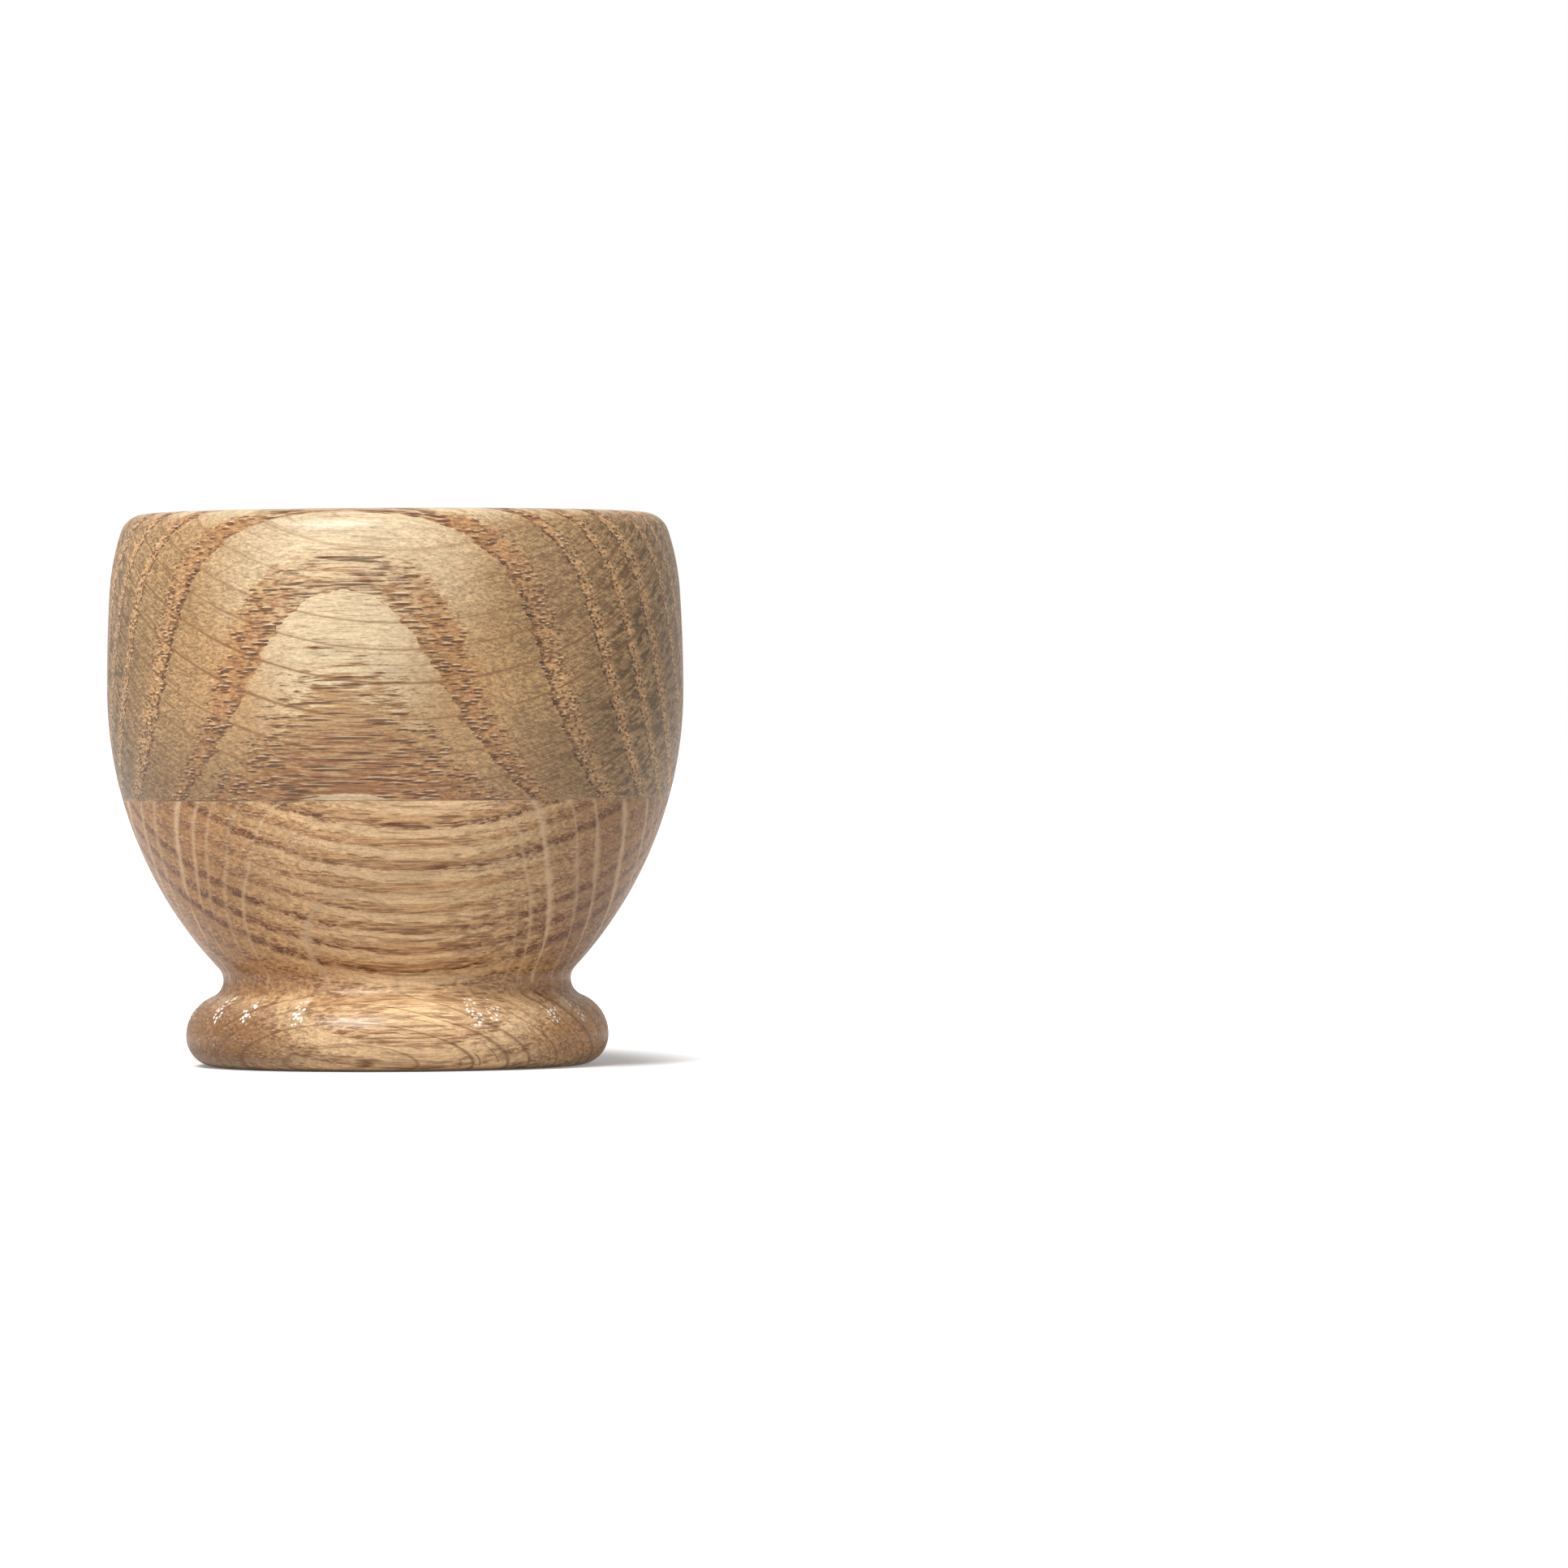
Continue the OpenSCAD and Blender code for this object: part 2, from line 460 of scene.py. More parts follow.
# Patterns of noise in the grain. "wood" is how often they repeat in a millimetre along the fibres
# and across them, "rings" how often across the rings and across the rays. A mark starts at the first
# value of "counts" and is whole from the second. The third and fourth are what it gives there.
grainPatterns = {
    "rayPatch": {"wood": (0.07, 0.14, 0.14), "detail": 4.0, "roughness": 0.6,
                 "counts": (0.35, 0.65, 0.5, 1.5), "soft": 0.1},
    "finePatch": {"wood": (0.14, 0.4, 0.4), "counts": (0.45, 0.6)},
    "streak": {"wood": (0.16, 2.2, 2.2), "detail": 3.0, "roughness": 0.7},
    "fineStreak": {"wood": (0.3, 5.0, 5.0), "roughness": 0.6},
    "ragged": {"wood": (0.9, 3.0, 3.0)},
    "rowPatch": {"wood": (0.1, 0.0, 0.0), "rings": (0.4, 0.85, 1.0), "detail": 3.0, "roughness": 0.65,
                 "counts": (0.37, 0.5)},
    "layer": {"wood": (0.05, 0.0, 0.0), "rings": (1.7, 0.16, 1.0), "detail": 3.0, "roughness": 0.6,
              "dark": (0.5, 0.64), "light": (0.36, 0.48)},
    "porePatch": {"wood": (0.3, 1.0, 1.0), "detail": 1.0, "counts": (0.35, 0.5, 0.4, 1.0)},
    "fan": {"rings": (0.6, 5.4, 1.0), "roughness": 0.6, "counts": (0.46, 0.58)},
    "flame": {"rings": (0.5, 1.8, 1.0), "counts": (0.49, 0.55)},
    "netPatch": {"wood": (0.1, 0.14, 0.14), "counts": (0.32, 0.46)},
    "tone": {"wood": (0.04, 0.12, 0.12), "counts": (0.3, 0.7, 0.9, 1.1)},
    "speck": {"wood": (2.5, 7.0, 7.0), "roughness": 0.8, "counts": (0.34, 0.66, 0.87, 1.1)},
    "scribble": {"wood": (2.2, 3.0, 3.0), "rings": (0.0, 3.8, 0.0), "roughness": 0.75,
                 "counts": (0.36, 0.64, -0.3, 0.24)},
    "sparkPatch": {"wood": (0.9, 0.9, 0.9)},
}

# Cells in the grain, placed in the same way. A mark is whole up to the first value of "reach" from
# the cell's middle, or from the line between two cells, and is gone at the second.
grainCells = {
    "fineRay": {"scale": 1.5, "reach": (0.0, 0.1)},
    "pore": {"wood": (0.16, 1.9, 3.8), "reach": (0.3, 0.5)},
    # cells of the painted glint, a painted highlight beside each pore
    "paintedGlint": {"besidePore": (0.0, 0.0, -0.5), "reach": (0.16, 0.38)},
    "dot": {"scale": 2.0, "reach": (0.2, 0.32)},
    "smallPore": {"wood": (0.7, 4.5, 4.5), "reach": (0.12, 0.34)},
    "net": {"rings": (0.9, 0.7, 1.0), "randomness": 0.8, "reach": (0.02, 0.22)},
    "spark": {"wood": (2.6, 2.6, 2.6), "clustered": 0.8, "reach": (0.3, 0.4)},
}

# Where one mark gives way to another as the surface cuts the fibres more squarely, from 0 along
# them, as on the front, to 1 straight across, as on the sides
cutZones = {
    "endGrain": (0.38, 0.78),
    "side": (0.1, 0.42),
    "rayWidth": (0.1, 0.5),
    "rays": (0.1, 0.4),
    "rayTone": (0.15, 0.5),
    "slip": (0.15, 0.45),
    "edge": (0.2, 0.7),
    "dash": (0.6, 0.9),
    "paintedGlint": (0.1, 0.3),
    "flame": (0.72, 0.92),
    "net": (0.02, 0.2),
    "scribble": (0.15, 0.6),
}

# The make-up of a ring. Shares are shares of its whole width.
ringShape = {
    "wander": 0.05,               # share by which its edge wanders
    "cusp": 0.02,                 # share by which its edge is drawn out beside a ray
    "cuspReach": 0.5,             # and how far from the ray, in millimetres
    "edgeRise": 0.8,              # part of Edge Before over which the edge grows dark
    "edgeSoft": 0.012,            # share that is added to it, so that no edge is hard
    "edgeFall": 0.6,              # part of the edge from which it grows pale again
    # the next seven are parts of its share of porous wood
    "streakSpread": 1.8,          # how far the streaks carry it
    "earlyFront": 0.15,           # it thins out from here on the front
    "earlySide": 0.6,             # and so much later on the sides
    "earlyEnd": 1.15,
    "lateFrom": 0.9,
    "poresFrom": 0.9,
    "poresEnd": 1.2,
    "lateSoft": 0.1,
    "porousRing": (0.3, 0.5),     # share of porous wood from which a ring counts as porous, and fully so
    "lateOnFront": (0.8, 0.12),   # pale wood on the front, in other rings and in porous ones
    "paleWhole": 0.2,             # part of Pale Within up to which pale wood is whole
    "paleLeft": 0.1,              # and what is left of it on the sides
    "lineShare": 0.6,             # part of the wider streaks in the lines on the front
    "lineCover": 0.165,           # how much further the lines spread in porous wood
    "lines": (0.32, 0.44),
    "lineStrength": (0.0, 0.2, 0.25, 1.0),      # faint in pale wood and whole in porous wood
    "fanCover": 0.6,              # how much of the strokes on the end grain porous wood hides
    "flameFrom": (0.35, 0.55),    # share of the ring from which blotches lie in it
}

# How strongly each mark colours the wood
markStrengths = {"fan": 0.5, "flame": 0.85, "net": 0.6, "smallPore": 0.25}

# Streaks along the fibres: where they start and are whole, and what they then do to the rest
streakEffects = {
    "porous": (0.42, 0.54),
    "edge": (0.42, 0.56, 1.15, 0.55),
    "layer": (0.42, 0.54, 1.0, 0.3),
    "tone": (0.38, 0.62, 0.84, 1.16),
}

# What is left of a mark where the cut suits it least
leftOf = {"dash": 0.35, "paintedGlint": 0.45, "layer": 0.3, "scribble": 0.2, "rayTone": 0.3}

# Relief and shine of the lacquer, which fills the pores so that they stand a little proud, and the colour of
# its painted sparkle, a painted highlight
lacquer = {
    "dull": 0.52, "dullPore": 0.1, "dullSpeck": 0.25,
    "smallPore": 0.15, "streak": 0.5, "speck": 0.15, "ray": 0.15,
    "paintedSparkColour": (0.97, 0.92, 0.83, 1.0),
}


def makeGrain():
    colourKind, floatKind = "NodeSocketColor", "NodeSocketFloat"
    white = (1.0, 1.0, 1.0, 1.0)
    colours = ("Pale", "Tan", "Early", "Edge", "Pore", "Painted Glint", "Dark Ray", "Light Ray",
               "End Early", "End Late", "End Mark")
    amounts = {
        "Ring Number": 0.0, "Ring Share": 0.4, "Ring Distance": 0.0,
        "Ray Number": 0.0, "Ray Share": 0.5, "Ray Distance": 0.0,
        "End Grain": 0.0, "Ray Tone": 0.0, "Pale Within": 0.45, "Ray Gaps": 0.34,
        "Row Strength": 1.0, "Row Breaks": 0.0, "Sparkle": 0.0, "Level": 1.0,
        "Edge Before": 0.0, "Edge After": 0.1, "Edge Strength": 0.7, "Edge On Face": 1.0,
        "Early Strength": 1.0, "Face Early": 1.0, "Ray Step": 2.5, "Ray Width": 0.12,
        "Face Width": 1.0, "Face Rays": 1.0, "Ray Strength": 0.8, "Fine Rays": 0.3,
        "Pore Strength": 0.6, "Glint Strength": 0.3, "Streaks": 1.0, "Layers": 0.0,
        "Dashes": 0.0, "Cobbles": 0.0, "Scribble": 1.0,
    }
    tree, given, result = newGroup("oakGrain", "ShaderNodeTree", [
        ("Vector", "NodeSocketVector", None),
        *[(label, colourKind, white) for label in colours],
        *numbers(amounts),
    ], [("Colour", colourKind), ("Roughness", floatKind), ("Height", floatKind)])
    wood = given["Vector"]
    rings = combined(given["Ring Distance"], given["Ray Distance"])
    made = {}

    def spaceOf(shape):
        # where a mark of this shape repeats: in the wood, by its rings and rays, or both
        spaces = (("wood", wood), ("rings", rings))
        used = [stretched(space, shape[label]) for label, space in spaces if label in shape]
        return used[0] if len(used) == 1 else calcVector("ADD", *used)

    def pattern(name):
        # a pattern's noise, made the first time that it is asked for
        if name not in made:
            shape = grainPatterns[name]
            made[name] = noise(spaceOf(shape), shape.get("detail", 2.0), shape.get("roughness", 0.5))[0]
        return made[name]

    def marked(name):
        return ease(pattern(name), *grainPatterns[name]["counts"])

    def within(name, distance):
        return fade(distance, *grainCells[name]["reach"])

    def turning(zone, fromValue=0.0, toValue=1.0):
        # goes from one value to the other as the surface turns through the zone
        return ease(given["End Grain"], *cutZones[zone], fromValue, toValue)

    endGrain = turning("endGrain")
    faceGrain = rest(endGrain)
    onSide = turning("side")
    onFront = rest(onSide)

    # rays: long thin sheets that fade in and out
    rayFraction = calc("FRACT", given["Ray Number"])
    toRay = times(calc("MINIMUM", rayFraction, rest(rayFraction)), given["Ray Step"])
    rayWidth = times(given["Ray Width"], marked("rayPatch"), turning("rayWidth", given["Face Width"]))
    rayEnough = plus(given["Ray Gaps"], grainPatterns["rayPatch"]["soft"])
    rayThere = times(given["Ray Share"], ease(pattern("rayPatch"), given["Ray Gaps"], rayEnough))
    rayLine = times(fade(toRay, 0.0, rayWidth), rayThere, given["Ray Strength"],
                    turning("rays", given["Face Rays"]))
    fineGap = cells(given["Ray Distance"], "1D", "DISTANCE_TO_EDGE", scale=grainCells["fineRay"]["scale"])
    fineLine = times(within("fineRay", fineGap), marked("finePatch"), given["Fine Rays"])

    # fibres: streaks along X
    streakMix = plus(times(pattern("streak"), 0.5), times(pattern("fineStreak"), 0.5))
    streak = ease(streakMix, *streakEffects["porous"])

    # rings: an edge, the porous early wood behind it, then the dense late wood
    shape = ringShape
    cusp = times(ease(toRay, 0.0, shape["cuspReach"], shape["cusp"], 0.0), given["Ray Share"])
    wander = times(centred(pattern("ragged")), shape["wander"])
    number = plus(given["Ring Number"], plus(cusp, wander))
    share = calc("FRACT", number)
    edgeShare = calc("FRACT", plus(number, given["Edge Before"]))
    edgeEnd = plus(given["Edge Before"], given["Edge After"])
    edgeRise = ease(edgeShare, 0.0, plus(times(given["Edge Before"], shape["edgeRise"]), shape["edgeSoft"]))
    edgeFall = fade(edgeShare, times(edgeEnd, shape["edgeFall"]), edgeEnd)
    rowKept = rest(times(given["Row Breaks"], rest(marked("rowPatch"))))
    edge = times(edgeRise, edgeFall, rowKept, given["Edge Strength"], given["Row Strength"],
                 ease(streakMix, *streakEffects["edge"]))
    onFace = turning("edge", 1.0, 0.0)
    narrower = rest(times(rest(edge), onFace))
    weaker = times(onFace, rest(given["Edge On Face"]))
    edge = times(edge, times(narrower, rest(weaker)))
    porous = given["Ring Share"]
    outer = plus(share, times(centred(streakMix), times(porous, shape["streakSpread"])))
    earlyFrom = times(porous, plus(times(onSide, shape["earlySide"]), shape["earlyFront"]))
    early = fade(outer, earlyFrom, times(porous, shape["earlyEnd"]))
    lateFace = times(onFront, ease(porous, *shape["porousRing"], *shape["lateOnFront"]))
    lateBand = ease(outer, times(porous, shape["lateFrom"]), plus(porous, shape["lateSoft"]))
    paleWhole = times(given["Pale Within"], shape["paleWhole"])
    paleReach = ease(given["End Grain"], paleWhole, given["Pale Within"], 1.0, shape["paleLeft"])
    late = times(calc("MAXIMUM", lateFace, lateBand), paleReach)
    earlySide = times(early, rest(times(streak, faceGrain, given["Streaks"])))
    cover = times(early, ease(porous, *shape["porousRing"], given["Face Early"], 1.0), shape["lineCover"])
    fineMix = plus(times(streakMix, shape["lineShare"]),
                   times(pattern("fineStreak"), 1 - shape["lineShare"]))
    earlyLines = times(fade(minus(fineMix, cover), *shape["lines"]), ease(early, *shape["lineStrength"]))
    earlyHere = plus(times(earlySide, onSide), times(earlyLines, onFront))
    earlyHere = times(earlyHere, given["Early Strength"])

    # pores: tubes along X that the surface cuts into streaks, dashes or dots
    poreSpace = spaceOf(grainCells["pore"])
    parts = separated(wood)
    acrossFibres = cells(combined(parts[1], parts[2]), "2D", scale=grainCells["dot"]["scale"])
    dash = times(within("pore", cells(poreSpace)), turning("dash", 1.0, leftOf["dash"]))
    dot = times(within("dot", acrossFibres), endGrain)
    poreHole = calc("MAXIMUM", dash, dot)
    poreZone = fade(outer, times(porous, shape["poresFrom"]), times(porous, shape["poresEnd"]))
    poreZone = times(poreZone, marked("porePatch"))
    poreHere = times(poreHole, poreZone)
    # painted glint: a pale dash painted into the colour beside each pore, standing in for the highlight that
    # the lacquer gives there
    glintSpace = calcVector("ADD", poreSpace, grainCells["paintedGlint"]["besidePore"])
    paintedGlint = times(within("paintedGlint", cells(glintSpace)), rest(poreHole), poreZone, given["Glint Strength"],
                  turning("paintedGlint", leftOf["paintedGlint"]))
    smallHole = within("smallPore", cells(spaceOf(grainCells["smallPore"])))

    # end grain: strokes drawn out along the rays, darker blotches, and a net of small cells
    fanMark = times(marked("fan"), endGrain, rest(times(early, shape["fanCover"])), given["Dashes"])
    flameMark = times(marked("flame"), ease(share, *shape["flameFrom"]), given["Dashes"], turning("flame"))
    netShape = grainCells["net"]
    netCells = cells(spaceOf(netShape), "2D", "DISTANCE_TO_EDGE", randomness=netShape["randomness"])
    net = times(within("net", netCells), given["Cobbles"], turning("net"), marked("netPatch"))
    layerShape = grainPatterns["layer"]
    layerDark = times(ease(pattern("layer"), *layerShape["dark"]), given["Layers"],
                      ease(faceGrain, 0.0, 1.0, leftOf["layer"]), ease(streakMix, *streakEffects["layer"]))
    layerLight = times(fade(pattern("layer"), *layerShape["light"]), given["Layers"], faceGrain)

    # colour, from the widest effect to the finest
    face = mixColour(late, given["Tan"], given["Pale"])
    face = mixColour(earlyHere, face, given["Early"])
    across = mixColour(early, given["End Late"], given["End Early"])
    colour = mixColour(endGrain, face, across)
    for strength, label in (
        (times(fanMark, markStrengths["fan"]), "End Mark"),
        (times(flameMark, markStrengths["flame"]), "End Mark"),
        (times(net, markStrengths["net"]), "Edge"),
        (layerDark, "Edge"),
        (layerLight, "Pale"),
        (edge, "Edge"),
    ):
        colour = mixColour(strength, colour, given[label])
    light = times(marked("tone"), ease(streakMix, *streakEffects["tone"]))
    scribble = times(turning("scribble", leftOf["scribble"]), times(marked("scribble"), given["Scribble"]))
    level = times(given["Level"], light, times(marked("speck"), plus(1.0, scribble)))
    colour = addNode(tree, "ShaderNodeVectorMath", {0: colour, "Scale": level}, operation="SCALE").outputs[0]
    for strength, label in (
        (times(smallHole, markStrengths["smallPore"]), "Pore"),
        (fineLine, "Dark Ray"),
        (times(poreHere, given["Pore Strength"]), "Pore"),
        # the painted glint, a painted highlight beside the pores
        (paintedGlint, "Painted Glint"),
    ):
        colour = mixColour(strength, colour, given[label])
    rayTone = times(given["Ray Tone"], turning("rayTone", leftOf["rayTone"]))
    colour = mixColour(rayLine, colour, mixColour(rayTone, given["Dark Ray"], given["Light Ray"]))

    # painted sparkle: small clusters of painted highlight, where the lacquer would catch the light
    clusters = times(centred(pattern("sparkPatch")), grainCells["spark"]["clustered"])
    spark = within("spark", plus(cells(spaceOf(grainCells["spark"])), clusters))
    colour = mixColour(times(spark, given["Sparkle"]), colour, lacquer["paintedSparkColour"])
    feed(result["Colour"], colour)

    dullSpeck = times(centred(pattern("speck")), lacquer["dullSpeck"])
    feed(result["Roughness"], plus(lacquer["dull"], times(poreHere, lacquer["dullPore"]), dullSpeck))
    height = minus(poreHere, times(smallHole, lacquer["smallPore"]))
    height = plus(height, times(pattern("streak"), lacquer["streak"]))
    height = plus(height, times(pattern("speck"), lacquer["speck"]))
    feed(result["Height"], minus(height, times(rayLine, lacquer["ray"])))
    return tree


def countMarks(distance, marks, step, beyond):
    # numbers the marks in turn, and goes on in even steps beyond the first and the last
    places = [place for place, share in marks]
    low, high = places[0] - step * beyond, places[-1] + step * beyond
    last = len(places) - 1 + 2 * beyond
    inner = [((place - low) / (high - low), (beyond + n) / last) for n, place in enumerate(places)]
    counted = followCurve(spanShare(distance, low, high), [(0.0, 0.0)] + inner + [(1.0, 1.0)])
    return times(counted, float(last))


def shareOf(number, marks, beyond, usual):
    # the share that belongs to a mark's number, and the usual one beyond the marks
    last = len(marks) - 1 + 2 * beyond
    inner = [((beyond + n) / last, share) for n, (place, share) in enumerate(marks)]
    before, after = (beyond - 1) / last, (last - beyond + 1) / last
    points = [(0.0, usual), (before, usual)] + inner + [(after, usual), (1.0, usual)]
    return followCurve(calc("DIVIDE", number, float(last)), points)


def peaksAt(value, low, high, places, width):
    # rises to 1 at each place and falls to 0 at the width from it
    points = [(0.0, 0.0)]
    for place in places:
        for offset, share in ((-width, 0.0), (0.0, 1.0), (width, 0.0)):
            points.append(((place + offset - low) / (high - low), share))
    return followCurve(spanShare(value, low, high), points + [(1.0, 0.0)])


def makeOak(name, block, growth, grain):
    material, tree, place = newMaterial(name)
    turned = addNode(tree, "ShaderNodeMapping", {
        "Vector": place,
        "Rotation": (0.0, 0.0, block["fibreTurn"]),
        "Scale": (1 / mm, 1 / mm, 1 / mm),
    }).outputs[0]
    parts = separated(place)
    height = calc("DIVIDE", parts[2], mm)
    azimuth = calc("DEGREES", calc("ARCTAN2", parts[0], times(parts[1], -1.0)))

    def upTo(values, heights="footHeights"):
        # from the foot's value to the bowl's
        return ease(height, *block[heights], *values)

    def leftToRight(values, places):
        return ease(parts[0], *block[places], *values)

    def nearHeight(heights):
        return peaksAt(height, 0, cup["height"], *block[heights])

    grown = useGroup(tree, growth, {
        "Vector": turned,
        "Ray Turn": upTo(block["rayTurns"]),
        "Ray Lean": upTo(block["rayLeans"]),
        **block["growth"],
    })
    rayDistance = plus(grown["Ray Distance"], upTo((0.0, block["rayBend"]), "rayBendHeights"))
    rayNumber = countMarks(rayDistance, block["rays"], block["rayStep"], block["raysBeyond"])
    rayWhole = calc("FLOOR", plus(rayNumber, 0.5))
    rayShare = shareOf(rayWhole, block["rays"], block["raysBeyond"], block["usualRay"])
    # the wood between two rays has slipped a little against its neighbours
    endGrain = addNode(tree, "ShaderNodeAttribute", attribute_name="endGrain").outputs["Fac"]
    slip = times(minus(0.5, calc("FRACT", rayNumber)), ease(endGrain, *cutZones["slip"]))
    ringDistance = plus(grown["Ring Distance"], times(slip, block["slip"]))
    ringNumber = countMarks(ringDistance, block["rings"], block["ringStep"], block["ringsBeyond"])
    if block["ringsGrow"] == "back":
        last = len(block["rings"]) - 1 + 2 * block["ringsBeyond"]
        number = minus(float(last), ringNumber)
        whole = calc("CEIL", ringNumber)
    else:
        number = ringNumber
        whole = calc("FLOOR", plus(ringNumber, 0.5))
    # painted highlight: the colour is made paler below the lip, on the left of the front, where the key
    # light's highlight falls
    paintedHighlight = times(nearHeight("paintedHighlightHeights"), leftToRight((block["paintedHighlightLift"], 0.0), "paintedHighlightWithin"))
    bowlLevel = times(leftToRight(block["bowlLevels"], "bowlDarkFrom"), plus(1.0, paintedHighlight))
    footLevel = leftToRight(block["footLevels"], "footDarkFrom")
    values = {
        "Vector": turned, "Ring Number": number, "Ring Distance": ringDistance,
        "Ray Number": rayNumber, "Ray Share": rayShare, "Ray Distance": rayDistance,
        "End Grain": endGrain,
        "Ray Tone": upTo((), "lightRayHeights"),
        "Pale Within": upTo(block["paleWithin"], "paleHeights"),
        "Ray Gaps": upTo((block["footGaps"], leftToRight(block["archGaps"], "archFrom"))),
        "Ray Strength": upTo(block["rayStrengths"]),
        "Level": upTo((footLevel, bowlLevel)),
        "Fine Rays": upTo(block["fineRays"]),
        # cobbled grain, low down on the right of the bowl
        "Cobbles": times(nearHeight("cobbleHeights"), leftToRight((0.0, block["cobbles"]), "cobblesFrom")),
        "Face Rays": upTo((1.0, leftToRight(block["archRays"], "archWithin"))),
        "Row Strength": upTo((block["footRows"], 1.0)),
        **{label: linear(*colour) for label, colour in block["colours"].items()},
        **block["grain"],
    }
    values["Tan"] = mixColour(upTo(()), linear(*block["footTan"]), values["Tan"])
    values[block["ringSets"]] = shareOf(whole, block["rings"], block["ringsBeyond"], block["usualRing"])
    # painted sparkle: painted highlights on the foot, at the listed azimuths and heights
    if block["sparkles"]:
        here = times(peaksAt(azimuth, -180, 180, block["sparkles"], block["sparkleWidth"]),
                     nearHeight("sparkleHeights"))
        values["Sparkle"] = ease(here, *block["sparkleSoft"])
    made = useGroup(tree, grain, values)
    bump = addNode(tree, "ShaderNodeBump", {
        "Height": made["Height"],
        "Strength": block["bumpStrength"],
        "Distance": block["bumpDepth"],
    })
    showSurface(tree, addNode(tree, "ShaderNodeBsdfPrincipled", {
        "Base Color": made["Colour"],
        "Roughness": made["Roughness"],
        "Normal": bump.outputs[0],
        "IOR": block["ior"],
        "Coat Weight": block["coat"],
        "Coat Roughness": block["coatRoughness"],
        "Coat IOR": block["coatIor"],
    }))
    return material


# What the two blocks share, before what each of them gives for itself. A pair of values runs from
# left to right, or from the block's foot upwards.
bothOaks = {
    "archFrom": (-13 * mm, -10 * mm),      # rays that the front only grazes draw arches on its left
    "archWithin": (-4 * mm, 3 * mm),
    "archRays": (1.0, 1.0),
    "rayBend": 0.0,
    "rayBendHeights": (17.0, 25.0),
    "lightRayHeights": (98.0, 99.0),       # above the cup, so that its rays are dark
    "bowlDarkFrom": (5 * mm, 15 * mm),
    "paintedHighlightHeights": ([45.0], 4.9),         # where the painted highlight below the lip is clearest, and its reach
    "paintedHighlightWithin": (4 * mm, 14 * mm),
    "paintedHighlightLift": 0.0,
    "cobbleHeights": ([12.5], 5.0),
    "cobblesFrom": (-4 * mm, 3 * mm),
    "cobbles": 0.0,
    "footRows": 1.0,
    "sparkles": [],
    "bumpStrength": 0.8,
    "bumpDepth": 0.0001,
    "ior": 1.12,
    "coat": 0.2,
    "coatRoughness": 0.24,
    "coatIor": 1.8,
}

# Upper block: cut so that its rings show as arches on the front.
# Rings are the places of their front edges, each with its share of porous wood.
# Rays are their places, each with its strength.
upperOak = {
    **bothOaks,
    "fibreTurn": math.radians(10.4),
    "growth": {
        "Heart Back": 83.2, "Heart Up": 69.9, "Heart Distance": 83.2,
        "Bend": -1.24, "Bend Height": 37.0, "Tilt": 0.064, "Wave": 0.35,
    },
    "footHeights": (22.0, 38.0),      # its foot is the wood just above the joint
    "rayTurns": (math.radians(-11.4), math.radians(-11.4)),
    "rayLeans": (math.radians(55.8), math.radians(55.8)),
    "rings": [(-2.6, 0.35), (0.4, 0.35), (3.4, 0.35), (6.4, 0.35), (9.5, 0.35), (14.1, 0.38), (17.2, 0.38),
              (20.6, 0.38), (25.2, 0.38), (29.9, 0.26), (34.25, 0.7)],
    "ringStep": 3.0,
    "ringsBeyond": 10,
    "ringsGrow": "back",
    "ringSets": "Ring Share",         # what the second value of each ring sets in the grain
    "usualRing": 0.35,
    "rays": [(32.4, 0.6), (35.0, 0.9), (37.6, 0.9), (40.5, 1.0), (43.2, 1.0), (45.6, 0.8), (47.5, 0.7)],
    "rayStep": 2.5,
    "raysBeyond": 18,
    "usualRay": 0.5,
    "slip": 0.28,
    "archGaps": (0.34, 0.34),
    "paleHeights": (29.0, 45.0),      # the pale wood reaches further round near the lip
    "paleWithin": (0.34, 0.66),
    "footGaps": 0.34,
    "rayStrengths": (0.85, 0.85),
    "footTan": (178, 142, 102),
    "footDarkFrom": (-20 * mm, -10 * mm),
    "footLevels": (0.8, 0.93),
    "bowlLevels": (1.0, 0.98),
    # how much the painted highlight below the lip lightens the colour
    "paintedHighlightLift": 0.13,
    "fineRays": (0.4, 0.4),
    "colours": {
        "Pale": (206, 184, 150),
        "Tan": (177, 138, 94),
        "Early": (167, 118, 83),
        "Edge": (100, 70, 46),
        "Pore": (80, 47, 30),
        # colour of the painted glint, a painted highlight beside the pores
        "Painted Glint": (236, 214, 184),
        "Dark Ray": (136, 98, 66),
        "End Early": (206, 163, 116),
        "End Late": (175, 141, 101),
        "End Mark": (74, 54, 33),
    },
    "grain": {
        "Edge Strength": 0.9, "Edge On Face": 0.3, "Row Breaks": 0.35, "Face Early": 0.5,
        "Ray Step": 2.6, "Ray Width": 0.16, "Pore Strength": 0.75, "Glint Strength": 0.7,
        "Streaks": 0.75, "Dashes": 0.8,
    },
}

